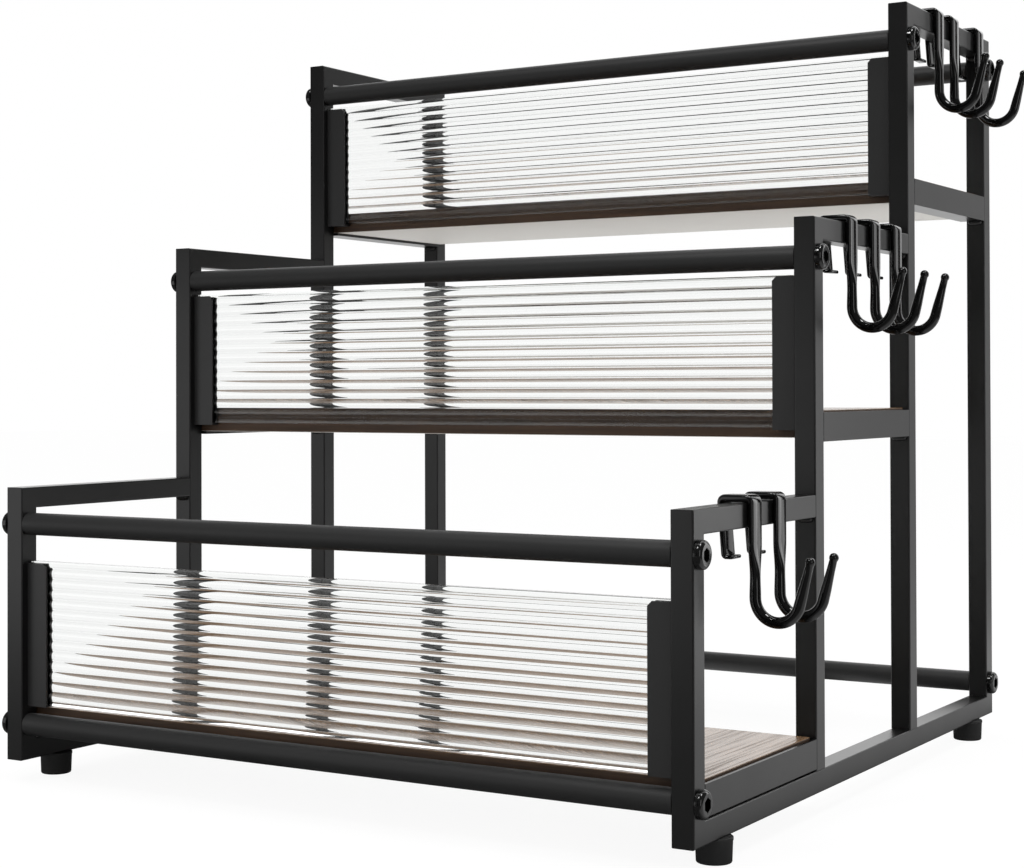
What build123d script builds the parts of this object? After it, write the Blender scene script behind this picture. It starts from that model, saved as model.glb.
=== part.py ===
"""Three-tier coffee station organizer with round guard bars, fluted clear fronts and cup hooks.

Millimetres, +Z up. The front of the rack faces -Y and its right side faces +X.
The origin lies on the surface that the feet stand on, under the middle of the whole outline.
"""

import os
from math import cos, degrees, floor, pi, radians, sin, sqrt

from build123d import *

os.makedirs("parts", exist_ok=True)

# Square tube of the two welded side frames
tube_size = 10.0
tube_wall = 1.0
tube_corner = 0.7
tube_inner_corner = 0.2

# Overall sizes of the side frames, without feet, bolts and hooks
frame_width = 366.0
frame_depth = 374.0

# Front faces of the second and third posts, as shares of the depth behind the front face
second_post_share = 0.3289
third_post_share = 0.6497

# Tops of the three top rails, above the underside of the bottom rail
lower_top_height = 131.0
middle_top_height = 253.5
upper_top_height = 368.0

# Steel angles that carry the shelves. The lower ones stand just over the bottom rails, and the
# others hang below the tops of their own top rails.
angle_leg = 13.0
angle_thickness = 1.5
lower_angle_gap = 1.0
raised_angle_drop = 99.45

# Round bars across the rack
bar_diameter = 10.7
bar_wall = 1.2
guard_bar_drop = 17.6
rear_upper_bar_drop = 16.7
bottom_bar_height = 17.1

# Socket bolts in the bar ends, and the threaded inserts that take them
bolt_diameter = 6.0
bolt_hole_clearance = 0.4
bolt_reach = 9.0
bolt_head_diameter = 11.8
bolt_head_height = 3.4
bolt_head_face_diameter = 8.2
bolt_head_rim = 1.7
bolt_socket_width = 5.0
bolt_socket_sides = 6
bolt_socket_depth = 2.2
insert_length = 12.0
insert_clearance = 0.05

# Shelves
shelf_thickness = 12.5
shelf_side_gap = 1.0
shelf_front_gap = 0.5
shelf_rear_gap = 1.5
shelf_edge_round = 0.5

# Clear panels with horizontal flutes
panel_thickness = 3.2
flute_pitch = 4.9
flute_land = 0.55
flute_height = 1.45
panel_side_gap = 0.5

# Shares of a flute left at the foot of each panel, where it is cut from a larger sheet
lower_flute_share = 0.37
middle_flute_share = 0.65
upper_flute_share = 0.14

# Channel clips on the posts that hold the panels
clip_sheet = 1.0
clip_flange = 12.0
clip_slot_clearance = 0.2
clip_corner_chamfer = 2.0
clip_setback = 3.8
panel_above_clip = 1.0

# Feet of the clips: over the lower shelf, and below the tops of the others
lower_clip_rise = 1.0
raised_clip_drop = 8.95

# Least gaps between the clips and the guard bars over them. Whole flutes fill the rest.
lower_clip_least_gap = 13.3
raised_clip_least_gap = 2.7

# Rubber feet and their screws
foot_height = 10.5
foot_top_diameter = 15.6
foot_neck_diameter = 15.2
foot_bottom_diameter = 14.6
foot_shoulder = 1.6
foot_edge_round = 0.8
foot_end_distance = 28.2
foot_recess_diameter = 8.6
foot_recess_depth = 5.0
foot_screw_diameter = 4.0
foot_screw_clearance = 0.1
foot_screw_head_diameter = 7.4
foot_screw_head_height = 2.4
foot_screw_slot_width = 1.2
foot_screw_slot_depth = 1.0
foot_screw_reach = 4.0

# Cup hooks over the right-hand top rails
hook_strap_width = 10.0
hook_strap_thickness = 2.4
hook_top_thickness = 3.1
hook_edge_round = 0.6
hook_rail_clearance = 0.3
hook_outer_corner = 2.4
hook_inner_corner = 0.6
hook_back_drop = 23.1
hook_back_top_gap = 1.15
hook_back_foot_lap = 0.7
hook_lip_length = 2.4
hook_lip_thickness = 1.5
hook_strap_drop = 17.0
hook_neck_drop = 30.0
hook_bend_centre_drop = 38.6
hook_bend_radius = 9.8
hook_tip_slant = 15.0
hook_tip_length = 18.5
hook_ball_diameter = 4.0
hook_ball_flat_diameter = 0.6
hook_join_step = 0.1
hook_neck_diameter = 4.4
hook_bend_diameter = 4.8
hook_tip_diameter = 3.3

# Middles of the hooks, as shares of the length of rail that they can hang on
hook_end_gap = 0.5
lower_hook_shares = (0.378, 0.628)
middle_hook_shares = (0.247, 0.547, 0.842)
upper_hook_shares = (0.272, 0.515, 0.936)

# Overrun of cutting bodies past the faces they cut
overrun = 1.0

# Reach of the hooks on the right and of the bolt heads on the left sets the rack's middle
hook_leg_middle = hook_rail_clearance + hook_strap_thickness / 2
hook_slant = radians(hook_tip_slant)
hook_tip_run = hook_bend_radius * cos(hook_slant) + hook_tip_length * sin(hook_slant)
hook_reach = hook_leg_middle + hook_bend_radius + hook_tip_run + hook_ball_diameter / 2
rack_middle_x = (bolt_head_height - hook_reach) / 2

front_y = -frame_depth / 2
base_z = foot_height
half_tube = tube_size / 2
post_fronts = {
    "front": front_y,
    "second": front_y + second_post_share * frame_depth,
    "third": front_y + third_post_share * frame_depth,
    "rear": front_y + frame_depth - tube_size,
}
top_rail_tops = {
    "lower": base_z + lower_top_height,
    "middle": base_z + middle_top_height,
    "upper": base_z + upper_top_height,
}
angle_undersides = {
    "lower": base_z + tube_size + lower_angle_gap,
    "middle": top_rail_tops["middle"] - raised_angle_drop,
    "upper": top_rail_tops["upper"] - raised_angle_drop,
}
shelf_tops = {
    tier: underside + angle_thickness + shelf_thickness for tier, underside in angle_undersides.items()
}

# Each tier spans from one post to the next
tier_posts = {
    "lower": ("front", "second"),
    "middle": ("second", "third"),
    "upper": ("third", "rear"),
}
sides = {"left": -1, "right": 1}


def frame_face_x(side):
    """Outer face of one side frame."""
    return rack_middle_x + side * frame_width / 2


def inner_face_x(side):
    """Inner face of the posts of one side frame."""
    return frame_face_x(side) - side * tube_size


def save(builder, name):
    """Label a finished piece and write it under its own name."""
    builder.part.label = name
    export_step(builder.part, f"parts/{name}.step")


def tube_section():
    """Section of the square tube, with rounded corners inside and out."""
    RectangleRounded(tube_size, tube_size, tube_corner)
    inner_size = tube_size - 2 * tube_wall
    RectangleRounded(inner_size, inner_size, tube_inner_corner, mode=Mode.SUBTRACT)


def cut_mitre(side, corner, back, down, keeps_rail):
    """Cut one end of a tube at 45 degrees.

    The corner is the outer corner of the joint as (y, z). From it the rail runs back along Y
    and the post runs down along Z, where back and down are the directions as 1 or -1.
    """
    y_outer, z_outer = corner
    y_past = y_outer - back * overrun
    z_past = z_outer - down * overrun
    y_far = y_outer + back * (tube_size + overrun)
    z_far = z_outer + down * (tube_size + overrun)
    waste = (y_past, z_far) if keeps_rail else (y_far, z_past)
    near_x = min(frame_face_x(side), inner_face_x(side)) - overrun
    with BuildSketch(Plane.YZ.offset(near_x)) as wedge:
        Polygon((y_past, z_past), (y_far, z_far), waste, align=None)
    extrude(wedge.sketch, amount=tube_size + 2 * overrun, mode=Mode.SUBTRACT)


def rail_plane(side, start_y, low_z):
    """Plane of a rail's section, looking back along its length."""
    middle_x = frame_face_x(side) - side * half_tube
    return Plane(origin=(middle_x, start_y, low_z + half_tube), x_dir=(1, 0, 0), z_dir=(0, 1, 0))


# Round bars, each with the post that carries its ends and the height of its middle
bars = {
    "lower_front_bar": ("front", base_z + bottom_bar_height),
    "lower_guard_bar": ("front", top_rail_tops["lower"] - guard_bar_drop),
    "middle_guard_bar": ("second", top_rail_tops["middle"] - guard_bar_drop),
    "upper_guard_bar": ("third", top_rail_tops["upper"] - guard_bar_drop),
    "rear_upper_bar": ("rear", top_rail_tops["upper"] - rear_upper_bar_drop),
    "rear_bottom_bar": ("rear", base_z + bottom_bar_height),
}


# Bottom rails, mitred to the front and rear posts and drilled for the foot screws
foot_places = {
    "front": front_y + foot_end_distance,
    "rear": front_y + frame_depth - foot_end_distance,
}
for side_name, side in sides.items():
    rear_y = front_y + frame_depth
    rail_middle_x = frame_face_x(side) - side * half_tube
    with BuildPart() as bottom_rail:
        with BuildSketch(rail_plane(side, front_y, base_z)):
            tube_section()
        extrude(amount=frame_depth)
        cut_mitre(side, (front_y, base_z), 1, 1, keeps_rail=True)
        cut_mitre(side, (rear_y, base_z), -1, 1, keeps_rail=True)
        for foot_y in foot_places.values():
            hole_plane = Plane(origin=(rail_middle_x, foot_y, base_z + tube_wall), z_dir=(0, 0, 1))
            with Locations(hole_plane):
                Hole((foot_screw_diameter + foot_screw_clearance) / 2, depth=tube_wall + overrun)
    save(bottom_rail, f"{side_name}_bottom_rail")


# Posts, mitred where a corner of the frame turns and drilled for the bolts of their bars
post_tops = {
    "front": top_rail_tops["lower"],
    "second": top_rail_tops["middle"],
    "third": top_rail_tops["upper"],
    "rear": top_rail_tops["upper"],
}
for side_name, side in sides.items():
    for post_name, post_front in post_fronts.items():
        is_end_post = post_name in ("front", "rear")
        post_foot = base_z if is_end_post else base_z + tube_size
        post_top = post_tops[post_name]
        back = -1 if post_name == "rear" else 1
        turning_y = post_front if back > 0 else post_front + tube_size
        post_middle_x = frame_face_x(side) - side * half_tube
        with BuildPart() as post:
            post_base = (post_middle_x, post_front + half_tube, post_foot)
            with BuildSketch(Plane(origin=post_base, z_dir=(0, 0, 1))):
                tube_section()
            extrude(amount=post_top - post_foot)
            cut_mitre(side, (turning_y, post_top), back, -1, keeps_rail=False)
            if is_end_post:
                cut_mitre(side, (turning_y, post_foot), back, 1, keeps_rail=False)
            for bar_post, bar_z in bars.values():
                if bar_post == post_name:
                    bolt_plane = Plane(
                        origin=(frame_face_x(side), post_front + half_tube, bar_z),
                        z_dir=(side, 0, 0),
                    )
                    with Locations(bolt_plane):
                        Hole((bolt_diameter + bolt_hole_clearance) / 2, depth=tube_size)
        save(post, f"{side_name}_{post_name}_post")


# Top rails, mitred to the post in front and butted against the post behind. The upper ones
# are mitred to the rear post as well.
for side_name, side in sides.items():
    for tier_name, (post_before, post_behind) in tier_posts.items():
        rail_start = post_fronts[post_before]
        is_upper = post_behind == "rear"
        rail_end = post_fronts[post_behind] + (tube_size if is_upper else 0)
        rail_top = top_rail_tops[tier_name]
        with BuildPart() as top_rail:
            with BuildSketch(rail_plane(side, rail_start, rail_top - tube_size)):
                tube_section()
            extrude(amount=rail_end - rail_start)
            cut_mitre(side, (rail_start, rail_top), 1, -1, keeps_rail=True)
            if is_upper:
                cut_mitre(side, (rail_end, rail_top), -1, -1, keeps_rail=True)
        save(top_rail, f"{side_name}_{tier_name}_top_rail")


# Steel angles between the posts: one leg stands flush with the frame's outside and the other
# carries the shelf
for side_name, side in sides.items():
    for tier_name, (post_before, post_behind) in tier_posts.items():
        angle_start = post_fronts[post_before] + tube_size
        angle_end = post_fronts[post_behind]
        underside = angle_undersides[tier_name]
        outer_x = frame_face_x(side)
        with BuildPart() as shelf_angle:
            with BuildSketch(Plane.XZ.offset(-angle_start)):
                Polygon(
                    (outer_x, underside),
                    (outer_x - side * angle_leg, underside),
                    (outer_x - side * angle_leg, underside + angle_thickness),
                    (outer_x - side * angle_thickness, underside + angle_thickness),
                    (outer_x - side * angle_thickness, underside + angle_leg),
                    (outer_x, underside + angle_leg),
                    align=None,
                )
            extrude(amount=angle_start - angle_end)
        save(shelf_angle, f"{side_name}_{tier_name}_shelf_angle")


# Shelves, lying on the lower legs of their angles between the posts
shelf_half_width = frame_width / 2 - angle_thickness - shelf_side_gap
for tier_name, (post_before, post_behind) in tier_posts.items():
    shelf_front = post_fronts[post_before] + tube_size + shelf_front_gap
    shelf_rear = post_fronts[post_behind] - shelf_rear_gap
    shelf_underside = angle_undersides[tier_name] + angle_thickness
    with BuildPart() as shelf:
        with BuildSketch(Plane.XY.offset(shelf_underside)):
            with Locations((rack_middle_x, (shelf_front + shelf_rear) / 2)):
                Rectangle(2 * shelf_half_width, shelf_rear - shelf_front)
        extrude(amount=shelf_thickness)
        fillet(shelf.edges(), radius=shelf_edge_round)
    save(shelf, f"{tier_name}_shelf")


# Round bars between the inner faces of the posts
bar_length = frame_width - 2 * tube_size
for bar_name, (bar_post, bar_z) in bars.items():
    bar_plane = Plane(
        origin=(inner_face_x(-1), post_fronts[bar_post] + half_tube, bar_z),
        z_dir=(1, 0, 0),
    )
    with BuildPart() as bar:
        with BuildSketch(bar_plane):
            Circle(bar_diameter / 2)
            Circle(bar_diameter / 2 - bar_wall, mode=Mode.SUBTRACT)
        extrude(amount=bar_length)
    save(bar, bar_name)


# Threaded inserts inside the bar ends, all in one group
with BuildPart() as bar_inserts:
    for side in sides.values():
        for bar_post, bar_z in bars.values():
            insert_plane = Plane(
                origin=(inner_face_x(side), post_fronts[bar_post] + half_tube, bar_z),
                z_dir=(-side, 0, 0),
            )
            with BuildSketch(insert_plane):
                Circle(bar_diameter / 2 - bar_wall - insert_clearance)
                Circle(bolt_diameter / 2 + insert_clearance, mode=Mode.SUBTRACT)
            extrude(amount=insert_length)
save(bar_inserts, "bar_inserts")


# Socket bolts through the posts into the inserts, one group on each side
bolt_face_radius = bolt_head_face_diameter / 2
bolt_head_radius = bolt_head_diameter / 2
for side_name, side in sides.items():
    with BuildPart() as bolts:
        for bar_post, bar_z in bars.values():
            bolt_origin = (frame_face_x(side), post_fronts[bar_post] + half_tube, bar_z)
            turning_plane = Plane(origin=bolt_origin, x_dir=(0, 1, 0), z_dir=(0, 0, side))
            with BuildSketch(turning_plane):
                with BuildLine():
                    rim = Line((0, 0), (bolt_head_radius, 0))
                    edge = Line(rim @ 1, (bolt_head_radius, -bolt_head_rim))
                    face_edge = (bolt_face_radius, -bolt_head_height)
                    crown = TangentArc(edge @ 1, face_edge, tangent=edge % 1)
                    face = Line(crown @ 1, (0, -bolt_head_height))
                    Line(face @ 1, (0, 0))
                make_face()
            revolve(axis=Axis(bolt_origin, (1, 0, 0)))
            shank_plane = Plane(origin=bolt_origin, z_dir=(-side, 0, 0))
            with BuildSketch(shank_plane):
                Circle(bolt_diameter / 2)
            extrude(amount=tube_size + bolt_reach)
            socket_plane = shank_plane.offset(-bolt_head_height)
            with BuildSketch(socket_plane):
                RegularPolygon(bolt_socket_width / 2, bolt_socket_sides, major_radius=False)
            extrude(amount=bolt_socket_depth, mode=Mode.SUBTRACT)
    save(bolts, f"{side_name}_bolts")


# Channel clips on the inner faces of the posts, open at the top, with a floor under the panel
slot_depth = panel_thickness + clip_slot_clearance
clip_depth = slot_depth + 2 * clip_sheet
clip_feet = {
    "lower": shelf_tops["lower"] + lower_clip_rise,
    "middle": shelf_tops["middle"] - raised_clip_drop,
    "upper": shelf_tops["upper"] - raised_clip_drop,
}
clip_least_gaps = {
    "lower": lower_clip_least_gap,
    "middle": raised_clip_least_gap,
    "upper": raised_clip_least_gap,
}


def flutes_of(tier_name):
    """Whole flutes that fit between the foot of a clip and the guard bar over it."""
    bar_underside = top_rail_tops[tier_name] - guard_bar_drop - bar_diameter / 2
    clip_room = bar_underside - clip_least_gaps[tier_name] - clip_feet[tier_name]
    return floor((clip_room - clip_sheet + panel_above_clip) / flute_pitch)


for side_name, side in sides.items():
    for tier_name, (post_before, _) in tier_posts.items():
        clip_front = post_fronts[post_before] + clip_setback
        clip_foot = clip_feet[tier_name]
        clip_height = flutes_of(tier_name) * flute_pitch + clip_sheet - panel_above_clip
        post_x = inner_face_x(side)
        flange_x = post_x - side * clip_flange
        web_x = post_x - side * clip_sheet
        with BuildPart() as clip:
            with BuildSketch(Plane.XY.offset(clip_foot)):
                Polygon(
                    (post_x, clip_front),
                    (flange_x, clip_front),
                    (flange_x, clip_front + clip_sheet),
                    (web_x, clip_front + clip_sheet),
                    (web_x, clip_front + clip_sheet + slot_depth),
                    (flange_x, clip_front + clip_sheet + slot_depth),
                    (flange_x, clip_front + clip_depth),
                    (post_x, clip_front + clip_depth),
                    align=None,
                )
            extrude(amount=clip_height)
            cross_edges = clip.edges().filter_by(Axis.Y)
            top_edges = cross_edges.group_by(Axis.Z)[-1]
            flange_corners = top_edges.filter_by_position(Axis.X, flange_x, flange_x)
            chamfer(flange_corners, length=clip_corner_chamfer)
            with BuildSketch(Plane.XY.offset(clip_foot)):
                Polygon(
                    (web_x, clip_front + clip_sheet),
                    (flange_x, clip_front + clip_sheet),
                    (flange_x, clip_front + clip_sheet + slot_depth),
                    (web_x, clip_front + clip_sheet + slot_depth),
                    align=None,
                )
            extrude(amount=clip_sheet)
        save(clip, f"{side_name}_{tier_name}_panel_clip")


# Clear panels: a flat back, and a front of round horizontal flutes with narrow lands between
flute_shares = {
    "lower": lower_flute_share,
    "middle": middle_flute_share,
    "upper": upper_flute_share,
}
panel_length = frame_width - 2 * tube_size - 2 * clip_sheet - 2 * panel_side_gap
for tier_name, (post_before, _) in tier_posts.items():
    panel_front = post_fronts[post_before] + clip_setback + clip_sheet + clip_slot_clearance / 2
    groove_y = panel_front + flute_height
    panel_back = panel_front + panel_thickness
    panel_foot = clip_feet[tier_name] + clip_sheet
    flute_count = flutes_of(tier_name)
    panel_height = flute_count * flute_pitch
    sheet_foot = panel_foot + (flute_shares[tier_name] - 1) * flute_pitch
    sheet_top = sheet_foot + (flute_count + 1) * flute_pitch
    panel_plane = Plane.YZ.offset(rack_middle_x - panel_length / 2)
    with BuildPart() as panel:
        with BuildSketch(panel_plane):
            with BuildLine():
                arc_end = (groove_y, sheet_foot)
                for flute in range(flute_count + 1):
                    low_z = sheet_foot + flute * flute_pitch
                    land_end = (groove_y, low_z + flute_land / 2)
                    crest = (panel_front, low_z + flute_pitch / 2)
                    Line(arc_end, land_end)
                    arc_end = (groove_y, low_z + flute_pitch - flute_land / 2)
                    ThreePointArc(land_end, crest, arc_end)
                Polyline(
                    arc_end,
                    (groove_y, sheet_top),
                    (panel_back, sheet_top),
                    (panel_back, sheet_foot),
                    (groove_y, sheet_foot),
                )
            make_face()
            with Locations(((panel_front + panel_back) / 2, panel_foot + panel_height / 2)):
                Rectangle(panel_thickness, panel_height, mode=Mode.INTERSECT)
        extrude(amount=panel_length)
    save(panel, f"{tier_name}_panel")


# Rubber feet under the bottom rails, recessed for a screw
foot_screws_at = []
for side_name, side in sides.items():
    for end_name, foot_y in foot_places.items():
        foot_x = frame_face_x(side) - side * half_tube
        foot_screws_at.append((foot_x, foot_y))
        with BuildPart() as foot:
            with BuildSketch(Plane(origin=(foot_x, foot_y, 0), x_dir=(1, 0, 0), z_dir=(0, -1, 0))):
                Polygon(
                    (0, 0),
                    (foot_bottom_diameter / 2, 0),
                    (foot_neck_diameter / 2, foot_height - foot_shoulder),
                    (foot_top_diameter / 2, foot_height - foot_shoulder),
                    (foot_top_diameter / 2, foot_height),
                    (0, foot_height),
                    align=None,
                )
            revolve(axis=Axis((foot_x, foot_y, 0), (0, 0, 1)))
            fillet(foot.edges().group_by(Axis.Z)[0], radius=foot_edge_round)
            with Locations(Plane(origin=(foot_x, foot_y, 0), z_dir=(0, 0, -1))):
                CounterBoreHole(
                    (foot_screw_diameter + foot_screw_clearance) / 2,
                    foot_recess_diameter / 2,
                    foot_recess_depth,
                    depth=foot_height,
                )
        save(foot, f"{side_name}_{end_name}_foot")


# Slotted pan-head screws up through the feet, in one group
with BuildPart() as foot_screws:
    for foot_x, foot_y in foot_screws_at:
        seat = Plane(origin=(foot_x, foot_y, foot_recess_depth), z_dir=(0, 0, 1))
        with BuildSketch(seat):
            Circle(foot_screw_diameter / 2)
        extrude(amount=foot_height - foot_recess_depth + foot_screw_reach)
        with BuildSketch(seat):
            Circle(foot_screw_head_diameter / 2)
        extrude(amount=-foot_screw_head_height)
        with BuildSketch(seat.offset(-foot_screw_head_height)):
            Rectangle(foot_screw_head_diameter, foot_screw_slot_width)
        extrude(amount=foot_screw_slot_depth, mode=Mode.SUBTRACT)
save(foot_screws, "foot_screws")


# Cup hooks: a flat strap over the rail that narrows to a round wire, a J bend, and a tapered
# tip with a ball end
hook_shares = {
    "lower": lower_hook_shares,
    "middle": middle_hook_shares,
    "upper": upper_hook_shares,
}
rail_outer_x = frame_face_x(1)
rail_inner_x = inner_face_x(1)
front_inside_x = rail_outer_x + hook_rail_clearance
front_outside_x = front_inside_x + hook_strap_thickness
back_top_inside_x = rail_inner_x - hook_back_top_gap
back_foot_inside_x = rail_inner_x + hook_back_foot_lap
back_top_outside_x = back_top_inside_x - hook_strap_thickness
back_foot_outside_x = back_foot_inside_x - hook_strap_thickness
lip_end_x = back_foot_inside_x + hook_lip_length
leg_middle_x = rail_outer_x + hook_leg_middle
bend_middle_x = leg_middle_x + hook_bend_radius
bend_turn = degrees(pi) - hook_tip_slant
wire_radius = hook_bend_diameter / 2
ball_radius = hook_ball_diameter / 2
flat_radius = hook_ball_flat_diameter / 2
ball_start = hook_tip_length - sqrt(ball_radius**2 - (hook_tip_diameter / 2) ** 2)
ball_end = hook_tip_length + sqrt(ball_radius**2 - flat_radius**2)


def hook_places(tier_name):
    """Middles along Y of the hooks on one top rail, clear of the bolt heads and of the next post."""
    post_before, post_behind = tier_posts[tier_name]
    head_end = half_tube + bolt_head_radius
    end_room = hook_strap_width / 2 + hook_end_gap
    first_y = post_fronts[post_before] + head_end + end_room
    last_y = post_fronts[post_behind] - end_room
    if post_behind == "rear":
        last_y += tube_size - head_end
    return [first_y + share * (last_y - first_y) for share in hook_shares[tier_name]]


def leg_plane(hook_y, height):
    """Level plane across the front leg of a hook, looking down along it."""
    return Plane((leg_middle_x, hook_y, height), x_dir=(0, 1, 0), z_dir=(0, 0, -1))


for tier_name in tier_posts:
    for number, hook_y in enumerate(hook_places(tier_name), start=1):
        rail_top = top_rail_tops[tier_name]
        strap_under_z = rail_top + hook_rail_clearance
        strap_top_z = strap_under_z + hook_top_thickness
        strap_end_z = rail_top - hook_strap_drop
        lip_under_z = rail_top - hook_back_drop
        lip_top_z = lip_under_z + hook_lip_thickness
        neck_z = rail_top - hook_neck_drop
        bend_z = rail_top - hook_bend_centre_drop
        with BuildPart() as hook:
            with BuildSketch(Plane.XZ.offset(-hook_y)) as strap_outline:
                Polygon(
                    (front_outside_x, strap_end_z),
                    (front_inside_x, strap_end_z),
                    (front_inside_x, strap_under_z),
                    (back_top_inside_x, strap_under_z),
                    (back_foot_inside_x, lip_top_z),
                    (lip_end_x, lip_top_z),
                    (lip_end_x, lip_under_z),
                    (back_foot_outside_x, lip_under_z),
                    (back_top_outside_x, strap_top_z),
                    (front_outside_x, strap_top_z),
                    align=None,
                )
                corners = strap_outline.vertices()
                outer_corners = corners.group_by(Axis.Y)[-1] + [
                    corners.sort_by_distance((back_foot_outside_x, lip_under_z, 0))[0]
                ]
                inner_corners = [
                    corners.sort_by_distance((front_inside_x, strap_under_z, 0))[0],
                    corners.sort_by_distance((back_top_inside_x, strap_under_z, 0))[0],
                    corners.sort_by_distance((back_foot_inside_x, lip_top_z, 0))[0],
                ]
                fillet(outer_corners, radius=hook_outer_corner)
                fillet(inner_corners, radius=hook_inner_corner)
            extrude(amount=hook_strap_width / 2, both=True)
            side_faces = hook.faces().sort_by(Axis.Y)
            side_edges = side_faces[0].edges() + side_faces[-1].edges()
            long_edges = side_edges.filter_by(lambda edge: edge.center().Z > strap_end_z)
            fillet(long_edges, radius=hook_edge_round)
            with BuildSketch(leg_plane(hook_y, strap_end_z)):
                SlotOverall(hook_strap_width - hook_join_step, hook_strap_thickness - hook_join_step)
            with BuildSketch(leg_plane(hook_y, neck_z)):
                Circle((hook_neck_diameter - hook_join_step) / 2)
            loft()
            with BuildSketch(Plane.XZ.offset(-hook_y)):
                Polygon(
                    (leg_middle_x, neck_z),
                    (leg_middle_x + hook_neck_diameter / 2, neck_z),
                    (leg_middle_x + wire_radius, bend_z),
                    (leg_middle_x, bend_z),
                    align=None,
                )
            revolve(axis=Axis((leg_middle_x, hook_y, neck_z), (0, 0, 1)))
            with BuildSketch(leg_plane(hook_y, bend_z)):
                Circle(wire_radius)
            bend_axis = Axis((bend_middle_x, hook_y, bend_z), (0, -1, 0))
            revolve(axis=bend_axis, revolution_arc=bend_turn)
            tip_x = bend_middle_x + hook_bend_radius * cos(hook_slant)
            tip_z = bend_z - hook_bend_radius * sin(hook_slant)
            tip_along = Vector(sin(hook_slant), 0, cos(hook_slant))
            tip_plane = Plane(
                origin=(tip_x, hook_y, tip_z),
                x_dir=(0, 1, 0),
                z_dir=Vector(0, 1, 0).cross(tip_along),
            )
            with BuildSketch(tip_plane):
                with BuildLine():
                    seat = Line((0, 0), (wire_radius, 0))
                    taper = Line(seat @ 1, (hook_tip_diameter / 2, ball_start))
                    ball = ThreePointArc(
                        taper @ 1,
                        (ball_radius, hook_tip_length),
                        (flat_radius, ball_end),
                    )
                    flat = Line(ball @ 1, (0, ball_end))
                    Line(flat @ 1, (0, 0))
                make_face()
            revolve(axis=Axis(tip_plane.origin, tip_along))
        save(hook, f"{tier_name}_hook_{number}")
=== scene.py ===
from math import acos, asin, atan2, copysign, cos, degrees, pi, radians, sin, sqrt, tan

import bmesh
import bpy
from mathutils import Matrix, Vector


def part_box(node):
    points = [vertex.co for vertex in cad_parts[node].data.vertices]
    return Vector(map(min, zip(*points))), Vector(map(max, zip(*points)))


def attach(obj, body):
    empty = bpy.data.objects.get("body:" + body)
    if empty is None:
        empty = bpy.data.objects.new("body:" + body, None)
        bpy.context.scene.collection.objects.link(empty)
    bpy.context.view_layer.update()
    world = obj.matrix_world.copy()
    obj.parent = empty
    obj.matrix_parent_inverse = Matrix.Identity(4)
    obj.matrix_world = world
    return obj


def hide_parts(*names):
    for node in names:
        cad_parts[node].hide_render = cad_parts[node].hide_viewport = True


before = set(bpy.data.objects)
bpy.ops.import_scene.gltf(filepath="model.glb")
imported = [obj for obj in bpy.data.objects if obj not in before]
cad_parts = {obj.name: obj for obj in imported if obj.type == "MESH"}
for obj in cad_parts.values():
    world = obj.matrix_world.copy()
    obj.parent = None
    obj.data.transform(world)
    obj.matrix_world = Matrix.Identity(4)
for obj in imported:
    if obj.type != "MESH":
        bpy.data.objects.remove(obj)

bl_info = {
    "name": "Coffee station organizer",
    "version": (1, 0, 0),
    "blender": (4, 5, 0),
    "location": "3D View > Sidebar > Organizer",
    "description": "Finishes for a stepped rack with clear fluted fronts, guard bars and cup hooks",
    "category": "Object",
}

SIDES = {"left": -1, "right": 1}
TIERS = ("lower", "middle", "upper")
# The posts that each bar is bolted between
BAR_POSTS = {
    "lower_front_bar": "front",
    "lower_guard_bar": "front",
    "middle_guard_bar": "second",
    "upper_guard_bar": "third",
    "rear_upper_bar": "rear",
    "rear_bottom_bar": "rear",
}
# The post that each tier's top rail runs back to
NEXT_POSTS = {"lower": "second", "middle": "third", "upper": "rear"}
HOOK_COUNTS = {"lower": 2, "middle": 3, "upper": 3}
# Name, place, width, height and radiance of each lamp, in SI units
LAMPS = (
    ("softbox_above_left", (-0.2, -1.0, 1.5), 0.36, 0.3, 24.0),
    ("softbox_above_right", (0.55, -0.2, 1.5), 0.3, 0.3, 24.0),
    ("softbox_right", (1.25, -0.7, 0.35), 0.3, 0.9, 2.0),
    ("softbox_front", (-0.42, -0.64, 0.15), 0.72, 0.3, 0.9),
    ("strip_behind", (0.4, 0.26, 0.2), 0.1, 0.5, 1.6),
)
MM = 0.001

# Settings that several nodes share
SMOOTH = {"interpolation_type": "SMOOTHSTEP"}
COLOURS = {"data_type": "RGBA"}
MULTIPLY = {"operation": "MULTIPLY"}


def size(node):
    """Lowest corner, highest corner and middle of a node of the rack."""
    low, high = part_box(node)
    low, high = Vector(low), Vector(high)
    return low, high, (low + high) / 2


def add_object(name, data):
    """A new object in the scene."""
    item = bpy.data.objects.new(name, data)
    bpy.context.scene.collection.objects.link(item)
    return item


def mesh_of(bm, name):
    """A mesh made from a bmesh, which is freed."""
    mesh = bpy.data.meshes.new(name)
    bm.to_mesh(mesh)
    bm.free()
    return mesh


# Sizes and colours that a user would change

class CoatSettings(bpy.types.PropertyGroup):
    """Powder coat on the welded frames, bars and clips."""

    colour: bpy.props.StringProperty(
        name="Coat colour", description="Colour of the powder coat, as an sRGB hex value", default="#0c0c0c"
    )
    roughness: bpy.props.FloatProperty(
        name="Coat roughness", description="How satin the powder coat is", default=0.3, min=0.0, max=1.0
    )
    peel: bpy.props.FloatProperty(
        name="Orange peel", description="Width of one dimple of the coat", default=0.8 * MM, unit="LENGTH"
    )


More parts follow.
